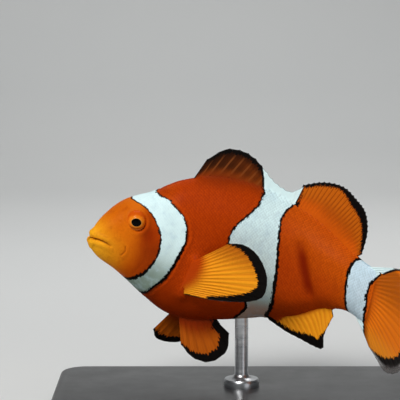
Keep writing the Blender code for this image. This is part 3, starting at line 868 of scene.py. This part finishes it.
# %% Outlines and one fin
SPINY_EDGE = [(23.4, 19.4), (27.0, 22.3), (30.6, 22.6), (33.6, 21.5), (36.2, 19.4), (38.4, 17.5),
              (40.6, 16.3), (42.9, 15.9), (45.2, 17.6)]
SOFT_EDGE = [(45.0, 18.0), (49.4, 19.8), (54.0, 20.2), (57.9, 18.7), (61.0, 16.8),
             (62.5, 13.0), (62.2, 7.6)]
ANAL_EDGE = [(43.8, -14.3), (48.0, -15.8), (51.6, -16.4), (55.0, -16.8), (57.5, -16.4),
             (57.1, -13.3), (58.4, -8.4)]
CAUDAL_ROOT = [(66.9, 6.2), (68.6, 0.0), (66.9, -6.2)]
CAUDAL_EDGE = [(73.0, 8.8), (80.4, 10.6), (85.6, 7.2), (87.6, 0.0), (86.4, -8.0),
               (79.4, -12.0), (70.6, -10.4)]
PECTORAL_EDGE = [(31.0, 5.1), (34.7, 5.9), (38.4, 5.2), (41.8, 3.1), (44.2, 0.2),
                 (43.9, -3.3), (40.0, -5.8), (34.6, -7.6), (28.8, -8.9)]
PELVIC_ROOT = [(23.3, -17.3), (31.0, -17.0)]
PELVIC_EDGE = [(24.9, -22.3), (28.2, -24.7), (32.5, -25.0), (35.8, -22.1), (35.6, -18.2)]
PECTORAL_X, PECTORAL_LEAN = 23.1, math.tan(math.radians(22))
PELVIC_LEAN, PELVIC_HALF_GAP = math.tan(math.radians(16)), 2.0
RIGHT_PELVIC_SWING, RIGHT_PELVIC_AHEAD = 0.8, 1.6


def ridge_root(profile, span, sink):
    """A root line just inside the back or the belly, whatever the edge."""
    def root(t, edge):
        x = span[0] + (span[1] - span[0]) * t
        return x, curve(profile, x) + sink
    return root


def leaning_root(profile, span, sink, lean):
    """The same, with each ray starting ahead of its end by lean times its height."""
    def root(t, edge):
        rise = edge[1] - curve(profile, edge[0])
        x = edge[0] - rise * (lean[0] + (lean[1] - lean[0]) * smooth(0.5, 1, t))
        x = np.clip(x, *span)
        return x, curve(profile, x) + sink
    return root


def upright(x, z, offset):
    return np.stack([x, offset, z], 1)


def off_flank(side):
    def place(x, z, offset):
        level = np.clip(z, PECTORAL_ROOT[1][1], PECTORAL_ROOT[0][1])
        root_x = np.full(len(z), PECTORAL_X)
        half, _ = girth_point(root_x, girth_degrees(root_x, level))
        reach = x - PECTORAL_X
        gentle = (reach + np.sqrt(reach ** 2 + 2)) / 2
        out = half - 0.4 + 1.2 * smooth(-2.5, 2.0, reach) + gentle * PECTORAL_LEAN
        return np.stack([x, side * (out + offset), z], 1)
    return place


def off_belly(side):
    def place(x, z, offset):
        below = PELVIC_ROOT[0][1] - z
        swing = RIGHT_PELVIC_SWING * below + RIGHT_PELVIC_AHEAD if side > 0 else 0
        out = PELVIC_HALF_GAP + below * PELVIC_LEAN
        return np.stack([x - swing, side * (out + offset), z - 0.4], 1)
    return place


def make_fin(name, node, material, root, edge, rays, place, margin, sides=(0.2, 0.2),
             flesh=(0.05, 0.35), size=(9, 44), thick=(1.0, 0.3), pleat=0.0, wave=0.0,
             notch=0.14, phase=0.0, bars=True, clear=(0.12, 0.12)):
    """A closed rayed sheet. margin is the black's width in mm at equal steps along the rim,
    clear that of the glassy edge outside it, sides the black's along the first and last rays,
    and flesh is where the body's colour ends."""
    per_ray, rows = size
    data = unit_grid(rays * per_ray, rows, True)
    t, reach, face = corners(data).T
    rim_x, rim_z = edge(t)
    root_x, root_z = root(t, (rim_x, rim_z))
    length = np.hypot(rim_x - root_x, rim_z - root_z)
    beat = t * rays + phase
    scallop = np.abs(np.sin(math.pi * beat)) ** 0.8 * notch / np.maximum(length, 2)
    far = reach * (1 - scallop * smooth(0.6, 1.0, reach))
    x = root_x + (rim_x - root_x) * far
    z = root_z + (rim_z - root_z) * far
    ridge = 0.5 + 0.5 * np.cos(2 * math.pi * beat)
    forked = 0.5 + 0.5 * np.cos(4 * math.pi * beat)
    split = smooth(0.4, 0.75, reach)
    bone = (ridge * (1 - split) + (0.55 * ridge + 0.45 * forked) * split) ** 1.1
    taper = (thick[0] + (thick[1] - thick[0]) * smooth(0, 0.55, reach)) * (1 - 0.35 * reach)
    first, last = t * rays, (1 - t) * rays
    bone = 0.7 + (bone - 0.7) * smooth(0.1, 0.3, reach)
    body = taper * (0.55 + 0.45 * bone) * smooth(-0.4, 0.3, np.minimum(first, last))
    fold = pleat * np.cos(2 * math.pi * beat) * smooth(0.05, 0.5, reach)
    sway = wave * np.sin(2.2 * math.pi * t + 0.6) * reach ** 1.6
    points = place(x, z, (face - 0.5) * body + fold + sway)
    ends = [np.array(edge(np.array([e])))[:, 0] for e in (0.0, 0.02, 0.98, 1.0)]
    pace = [np.hypot(*(ends[1] - ends[0])) / 0.02, np.hypot(*(ends[3] - ends[2])) / 0.02]
    spread = 0.25 + 0.75 * reach
    ray_gaps = (t * pace[0] * spread, (1 - t) * pace[1] * spread)
    rim_line = list(zip(*edge(np.linspace(0, 1, 41))))
    gap, where = line_distance(rim_line, x, z)
    outer = spaced(margin, where) - gap
    glassy = spaced(clear, where)
    fading = smooth(0.15, 0.5, reach)
    along_rays = [np.minimum(wide, 0.6 + 2.5 * fading) - off for wide, off in zip(sides, ray_gaps)]
    black = np.maximum.reduce([outer] + along_rays)
    edge_gap = np.minimum(gap, (1 - reach) * length) / glassy
    bar_edge, bar_ink = markings(x, girth_degrees(x, z))
    store(data, "straight", points)
    store(data, "edge", bar_edge if bars else np.full(len(x), -99.0))
    store(data, "ink", bar_ink)
    store(data, "ray", beat)
    store(data, "reach", reach)
    store(data, "flesh", 1 - smooth(flesh[0], flesh[1], reach - flesh_lean(name, t)))
    store(data, "margin", black)
    store(data, "rim", np.minimum(edge_gap, (np.minimum(*ray_gaps) + 0.3) / 0.12))
    bake_map(data, np.stack([t * 0.98 + 0.01, (reach * 0.48 + 0.01) + face * 0.5], 1))
    data.vertices.foreach_set("co", placed(points).ravel())
    fin = finished(name, data, material)
    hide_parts(node)


def flesh_lean(name, t):
    """The body's colour covers more of the pectoral's upper rays and the anal fin's front."""
    if "pectoral" in name:
        return 0.26 * (1 - t) ** 1.3
    return 0.6 * smooth(0.35, 0.0, t) if "anal" in name else 0 * t


# %% [markdown]
# ## The fins
# The dorsal fin has stout, leaning spines with a web in front darkened by painted shade, and a
# soft, fanned part behind, with a low white web between them. The anal fin matches the soft part
# below. The pectorals are pleated like fans and held open. The black margins differ: broad at the
# rear of the paired fins, heavy behind the soft dorsal, toothed under the anal fin, and a band
# inside the tail fin's glassy edge.

# %% Make the fins
make_fin("fin_dorsal_spiny", "dorsal_fin_spiny", FIN_DARK,
         leaning_root(BACK, (20.6, 43.9), -0.8, (0.62, 0.25)), lambda t: along(SPINY_EDGE, t),
         13, upright, [0.5, 1.0, 1.1, 1.0, 0.8, 0.5, -0.2, -0.4], sides=(0.0, -0.4),
         flesh=(-0.12, 0.55), size=(12, 40), notch=0.2)
make_fin("fin_dorsal_soft", "dorsal_fin_soft", FIN_SOFT,
         ridge_root(BACK, (43.9, 60.6), -0.8), lambda t: along(SOFT_EDGE, t), 24, upright,
         [0.8, 1.0, 1.1, 2.1, 2.3, 1.6, 0.6], sides=(0.55, 0.2), flesh=(0.15, 0.75),
         size=(7, 44), wave=0.25, notch=0.25, bars=False)
make_fin("fin_anal", "anal_fin", FIN_AMBER,
         ridge_root(BELLY, (42.4, 57.2), 0.8), lambda t: along(ANAL_EDGE, t), 13, upright,
         [1.0, 1.1, 1.2, 1.9, 2.4, 2.3, 1.9, 0.1, 0.1], sides=(0.5, -0.1), flesh=(-0.08, 0.22),
         bars=False)
make_fin("fin_caudal", "caudal_fin", FIN_TAIL,
         lambda t, edge: (along(CAUDAL_ROOT, t)[0] - 2.2, along(CAUDAL_ROOT, t)[1] * 0.92),
         lambda t: along(CAUDAL_EDGE, t), 23, upright, [-0.3, 1.6, 2.9, 3.2, 3.3, 3.1, -0.1],
         sides=(-0.4, 0.0), flesh=(-0.1, 0.4), size=(8, 44), wave=0.3, phase=0.5,
         clear=(0.15, 1.0, 1.7, 1.8, 1.9, 1.9, 0.3))
for side, word in ((-1, "left"), (1, "right")):
    make_fin("fin_pectoral_" + word, "pectoral_fin_" + word, FIN_AMBER,
             lambda t, edge: (along(PECTORAL_ROOT, t)[0] - 1.2, along(PECTORAL_ROOT, t)[1]),
             lambda t: along(PECTORAL_EDGE, t), 17, off_flank(side),
             [0.4, 1.5, 2.5, 3.2, 3.6, 3.5, 2.3, 1.5, 0.8], sides=(-0.6, 1.0),
             flesh=(-0.14, 0.22), pleat=0.035, wave=0.4, bars=False)
    make_fin("fin_pelvic_" + word, "pelvic_fin_" + word, FIN_BELLY_SHADED,
             lambda t, edge: (along(PELVIC_ROOT, t)[0], along(PELVIC_ROOT, t)[1] + 1.6),
             lambda t: along(PELVIC_EDGE, t), 7, off_belly(side),
             [0.4, 1.3, 2.0, 2.3, 2.3], sides=(-0.3, 2.0), flesh=(0.0, 0.8), size=(14, 40),
             pleat=0.08, notch=0.06, bars=False)

# %% [markdown]
# ## Eyes
# A clownfish's eye is a glossy dome with a black pupil, a little wider than high, that comes to
# a small point below, a thin pale ring round it, and an iris of the skin's own orange. Each ball
# is turned so that its pole looks out of the socket, and every corner keeps its distance from
# that pole, so the rings are painted by distance and stay even.

# %% Make the eyes
def eye_material():
    material, tree, shader = surface("eye_dome", Roughness=0.25, Specular_IOR_Level=0.03,
                                     Coat_Weight=0.04, Coat_Roughness=0.03)
    ring, straight = attribute(tree, "ring"), attribute(tree, "straight", "Vector")
    mottle = straight.noise(1.8, 3.0, 0.6)
    iris = mix((ring + mottle * 0.5).rise(1.6, 2.3), rgb(236, 126, 22), rgb(206, 84, 10))
    iris = mix((ring + mottle * 0.1).rise(1.42, 1.24) * 0.7, iris, rgb(214, 150, 70))
    under = straight.split()[2].rise(EYE_PLACE[1] - 0.5, EYE_PLACE[1] - 1.2)
    iris = mix(under * ring.rise(1.35, 1.55) * 0.6, iris, rgb(140, 66, 14))
    iris = mix(under * ring.rise(2.0, 2.2) * 0.6, iris, rgb(232, 142, 66))
    color = mix((ring + mottle * 0.06).rise(1.22, 1.12), iris, rgb(5, 4, 4))
    drive(tree, shader, "Base Color", color)
    return material


EYE = eye_material()


def make_eye(side, word):
    mesh = bmesh.new()
    bmesh.ops.create_uvsphere(mesh, u_segments=64, v_segments=48, radius=EYE_RADIUS)
    data = mesh_data(mesh, "eye")
    ball = corners(data)
    flat = np.hypot(ball[:, 0], ball[:, 1] * 1.32)
    point = np.clip(-ball[:, 1] / np.maximum(flat, 1e-6), 0, 1) ** 10
    ring = np.where(ball[:, 2] > 0, flat, 2 * EYE_RADIUS - flat) - 0.25 * point * (flat < 1.7)
    x, z = EYE_PLACE[0], eye_height(side)
    degrees = girth_degrees(np.array([x]), np.array([z]))
    place = body_surface(np.array([x]), degrees, side)[0]
    normal = skin_points(np.array([x]), degrees, side)[1][0]
    look = Vector(normal).lerp(Vector((-0.35, side, -0.12)), 0.55).normalized()
    up = (Vector((0, 0, 1)) - look * look.z).normalized()
    turn = np.array([up.cross(look), up, look])
    sink = EYE_SINK + (FAR_EYE_SINK if side > 0 else 0)
    points = ball @ turn + place + np.array([0, -side * sink, 0])
    store(data, "straight", points)
    store(data, "ring", ring)
    data.vertices.foreach_set("co", placed(points).ravel())
    eye = finished("eye_dome_" + word, data, EYE)
    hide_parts("eye_" + word)


make_eye(-1, "left")
make_eye(1, "right")

# %% [markdown]
# ## The stand
# The stand is plain on purpose: a black slab with a softened edge, and a turned steel rod with a
# round foot that goes up into the belly. The solids already give their sizes, so both are made
# again here from their boxes, with rounder edges and a foot that sits flush on the slab.

# %% Base and rod
def stand_materials():
    black, tree, shader = surface("stand_black", Coat_Weight=0.25, Coat_Roughness=0.15)
    place = object_place(tree)
    cloud = place.noise(90.0, 4.0, 0.6)
    drive(tree, shader, "Base Color", mix(cloud.rise(-0.3, 0.4), rgb(24, 24, 26),
                                          rgb(36, 36, 39)))
    drive(tree, shader, "Roughness", cloud * 0.3 + 0.36)
    relief(tree, shader, place.noise(1800.0, 2.0), 0.12, 0.00004)
    steel, tree, shader = surface("stand_steel", Metallic=1.0)
    place = object_place(tree)
    z = place.split()[2]
    turned = z.node("ShaderNodeTexNoise", {"noise_dimensions": "1D"},
                    {"W": z, "Scale": 900.0, "Detail": 2.0}) - 0.5
    drive(tree, shader, "Base Color", mix(turned.rise(-0.3, 0.4), rgb(178, 180, 183),
                                          rgb(204, 205, 207)))
    drive(tree, shader, "Roughness", turned * 0.15 + 0.3)
    relief(tree, shader, turned, 0.03, 0.00002)
    return black, steel


STAND_BLACK, STAND_STEEL = stand_materials()
BASE_CORNER, BASE_RIM, BASE_FOOT = 6, 0.8, 0.25      # rounding radii, mm
ROD_RADIUS, ROD_TIP = 1.5, 0.4
ROD_FOOT = [(0, 0), (4.0, 0), (4.0, 1.1), (3.7, 1.6), (2.4, 1.75), (1.8, 2.1)]


def stand_piece(name, node, mesh, material):
    data = mesh_data(mesh, name)
    piece = finished(name, data, material)
    data.set_sharp_from_angle(angle=math.radians(35))
    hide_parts(node)


def soften(mesh, edges, radius, segments):
    bmesh.ops.bevel(mesh, geom=edges, offset=radius * MM, segments=segments, profile=0.5,
                    affect="EDGES", material=-1)


def make_base():
    low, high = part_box("stand_base")
    size, middle = high - low, (high + low) / 2
    mesh = bmesh.new()
    bmesh.ops.create_cube(mesh, size=1)
    bmesh.ops.scale(mesh, verts=mesh.verts, vec=size)
    bmesh.ops.translate(mesh, verts=mesh.verts, vec=middle)
    uprights = [e for e in mesh.edges if abs(e.verts[0].co.z - e.verts[1].co.z) > size.z / 2]
    soften(mesh, uprights, BASE_CORNER, 14)
    rim = [e for e in mesh.edges if min(v.co.z for v in e.verts) > high.z - 0.01 * MM]
    soften(mesh, rim, BASE_RIM, 4)
    foot = [e for e in mesh.edges if max(v.co.z for v in e.verts) < low.z + 0.01 * MM]
    soften(mesh, foot, BASE_FOOT, 2)
    stand_piece("stand_slab", "stand_base", mesh, STAND_BLACK)


def make_rod():
    low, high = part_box("stand_rod")
    top_of_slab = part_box("stand_base")[1].z
    middle, height = (low + high) / 2, (high.z - top_of_slab) / MM
    profile = ROD_FOOT + [(ROD_RADIUS, 2.7), (ROD_RADIUS, 17), (ROD_RADIUS, height - ROD_TIP),
                          (ROD_RADIUS - ROD_TIP, height), (0, height)]
    mesh = bmesh.new()
    verts = [mesh.verts.new((r * MM, 0, top_of_slab + h * MM)) for r, h in profile]
    edges = [mesh.edges.new(pair) for pair in zip(verts, verts[1:])]
    bmesh.ops.spin(mesh, geom=verts + edges, cent=(0, 0, 0), axis=(0, 0, 1),
                   angle=2 * math.pi, steps=48, use_merge=True)
    bmesh.ops.remove_doubles(mesh, verts=mesh.verts, dist=0.001 * MM)
    bmesh.ops.translate(mesh, verts=mesh.verts, vec=(middle.x, middle.y, 0))
    stand_piece("stand_post", "stand_rod", mesh, STAND_STEEL)


make_base()
make_rod()

# %% [markdown]
# ## Room, lights and camera
# A pale floor that sweeps up behind, one large soft lamp in front and above on the head's side,
# a weaker one opposite, a rim from behind and one that lights the sweep. The camera looks across
# the fish's left side from 7 degrees above, through a long lens, with the tail out of the frame.

# %% Stage
def make_floor():
    mesh = bmesh.new()
    bmesh.ops.create_grid(mesh, x_segments=1, y_segments=24, size=1)
    for vert in mesh.verts:
        run = (vert.co.y + 1) / 2
        bend = min(max((run - 0.45) / 0.25, 0), 1) * math.pi / 2
        flat = min(run, 0.45) / 0.45 * 1.1 - 0.7
        rise = max(run - 0.7, 0) / 0.3 * 0.9
        vert.co = Vector((vert.co.x * 1.5, flat + 0.25 * math.sin(bend),
                          0.25 * (1 - math.cos(bend)) + rise))
    data = mesh_data(mesh, "floor")
    for face in data.polygons:
        face.use_smooth = True
    material, tree, shader = surface("pale_floor", Roughness=0.75)
    place = object_place(tree)
    drive(tree, shader, "Base Color", mix(place.noise(4.0, 3.0).rise(-0.4, 0.4),
                                          rgb(214, 216, 216), rgb(222, 223, 222)))
    data.materials.append(material)
    floor = bpy.data.objects.new("floor", data)
    bpy.context.scene.collection.objects.link(floor)


def aim(obj, place, target):
    obj.location = place
    obj.rotation_euler = (Vector(target) - Vector(place)).to_track_quat("-Z", "Y").to_euler()
    bpy.context.scene.collection.objects.link(obj)


def lamp(name, place, target, size, power, color):
    data = bpy.data.lights.new(name, "AREA")
    data.shape, data.size, data.energy, data.color = "DISK", size, power, color
    aim(bpy.data.objects.new(name, data), place, target)


AIM = Vector((-0.0097, -0.0055, 0.0479))
DISTANCE, ELEVATION, FIELD = 0.36, 7.0, 0.086


def make_camera():
    data = bpy.data.cameras.new("camera")
    data.sensor_width, data.lens = 36.0, 36.0 * DISTANCE / FIELD
    data.clip_start = 0.01
    camera = bpy.data.objects.new("camera", data)
    back = Vector((0, -math.cos(math.radians(ELEVATION)), math.sin(math.radians(ELEVATION))))
    aim(camera, AIM + back * DISTANCE, AIM)
    bpy.context.scene.camera = camera


make_floor()
lamp("key", (-0.15, -0.36, 0.40), (0, 0, 0.03), 0.20, 2.35, (1.0, 0.99, 0.97))
lamp("fill", (0.30, -0.44, 0.10), (0, 0, 0.03), 0.3, 0.2, (0.95, 0.97, 1.0))
lamp("rim", (0.10, 0.30, 0.36), (0, 0, 0.04), 0.2, 0.3, (1.0, 1.0, 1.0))
lamp("backdrop", (0.0, 0.16, 0.42), (0, 0.55, 0.10), 0.3, 0.9, (1.0, 1.0, 1.0))
make_camera()
bpy.context.scene.view_settings.view_transform = "Standard"
world = bpy.data.worlds.new("room")
world.use_nodes = True
world.node_tree.nodes["Background"].inputs[0].default_value = (0.80, 0.83, 0.86, 1)
world.node_tree.nodes["Background"].inputs[1].default_value = 0.1
bpy.context.scene.world = world
